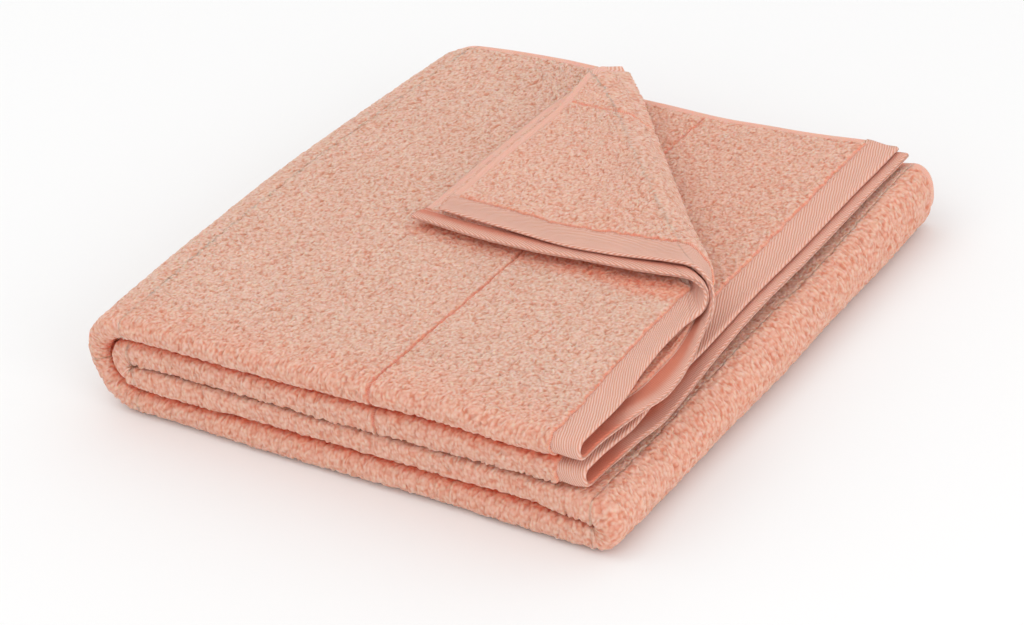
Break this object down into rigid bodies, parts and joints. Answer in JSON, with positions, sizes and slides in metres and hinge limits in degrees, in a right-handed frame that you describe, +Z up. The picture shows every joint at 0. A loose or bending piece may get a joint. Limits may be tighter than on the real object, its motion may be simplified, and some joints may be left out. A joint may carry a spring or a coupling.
{
  "type": "folded bath towel",
  "caption": "Folded terry bath towel with looped pile, woven selvedges, a loop-free stripe and taped hems, lying flat with its top corner turned back diagonally.",
  "frame": {"origin": "on the table, under the middle of the folded stack's box", "axes": "+X from the left folds to the taped hems and the right fold, +Y from the front fold to the selvedges, +Z up"},
  "size_m": [0.372, 0.346, 0.0876],
  "materials": {
    "terry": "looped pile on both faces",
    "hem_tape": "flat twill weave",
    "sewing_thread": "spun thread in lockstitch"
  },
  "bodies": {
    "lower_stack": {"bottom_panel": "terry", "right_fold": "terry", "lower_middle_panel": "terry", "inner_left_fold": "terry", "outer_left_fold": "terry"},
    "middle_run": {"middle_panel": "terry", "hem_b_tape": "hem_tape", "hem_b_seam": "sewing_thread"},
    "top_run": {"top_panel": "terry", "hem_a_tape": "hem_tape", "hem_a_seam": "sewing_thread", "corner_crease": "terry", "crease_tape": "hem_tape", "crease_seam": "sewing_thread"},
    "corner": {"corner_flap": "terry", "corner_tape": "hem_tape", "corner_seam": "sewing_thread"}
  },
  "joints": [
    {"name": "upper_half_opens", "type": "hinge", "parent": "lower_stack", "child": "middle_run", "pos_m": [-0.151, 0, 0.035], "axis": [0, -1, 0], "range_deg": [0, 85], "deforming": ["inner_left_fold", "outer_left_fold"]},
    {"name": "top_run_opens", "type": "hinge", "parent": "middle_run", "child": "top_run", "pos_m": [-0.151, 0, 0.035], "axis": [0, -1, 0], "range_deg": [0, 90]},
    {"name": "corner_unfolds", "type": "hinge", "parent": "top_run", "child": "corner", "pos_m": [0.17002, -0.03548, 0.0702], "axis": [-0.6886, 0.7252, 0], "range_deg": [0, 176], "deforming": ["corner_crease", "crease_tape", "crease_seam"]}
  ]
}
